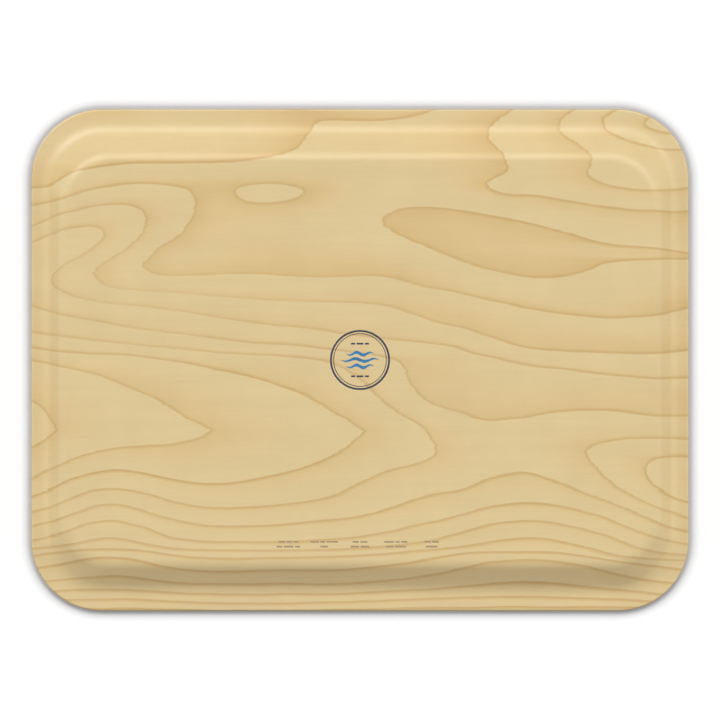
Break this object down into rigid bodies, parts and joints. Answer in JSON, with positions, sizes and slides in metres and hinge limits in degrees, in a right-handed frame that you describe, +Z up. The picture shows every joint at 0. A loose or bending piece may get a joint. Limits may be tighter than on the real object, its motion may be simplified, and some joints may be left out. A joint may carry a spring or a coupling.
{
  "type": "serving tray",
  "caption": "Shallow rectangular serving tray in moulded birch laminate, with rounded corners, sloping walls, a flat rim and a small round badge printed under the base.",
  "frame": {"origin": "centre of the underside of the base, where the tray stands", "axes": "+Z up, out of the well; +X along the long side; +Y along the short side"},
  "size_m": [0.43, 0.328, 0.0205],
  "materials": {
    "birch_face": "satin clear lacquer over birch veneer, grain along X",
    "birch_long": "pressed birch veneer, grain along X",
    "birch_cross": "pressed birch veneer, grain along Y",
    "glue_film": "cured phenolic film",
    "decor_sheet": "clear melamine film printed with navy border lines",
    "wear_overlay": "clear melamine film",
    "ink_navy": "printed ink",
    "ink_blue": "printed ink",
    "ink_grey": "printed ink"
  },
  "bodies": {
    "root": {"base_face_veneer": "birch_face", "glue_film_1": "glue_film", "lower_cross_veneer": "birch_cross", "glue_film_2": "glue_film", "core_veneer": "birch_long", "glue_film_3": "glue_film", "upper_cross_veneer": "birch_cross", "glue_film_4": "glue_film", "top_face_veneer": "birch_face", "decor_sheet": "decor_sheet", "wear_overlay": "wear_overlay", "badge_ring": "ink_navy", "badge_emblem": "ink_blue", "badge_legend": "ink_navy", "care_marks": "ink_grey"}
  },
  "joints": []
}
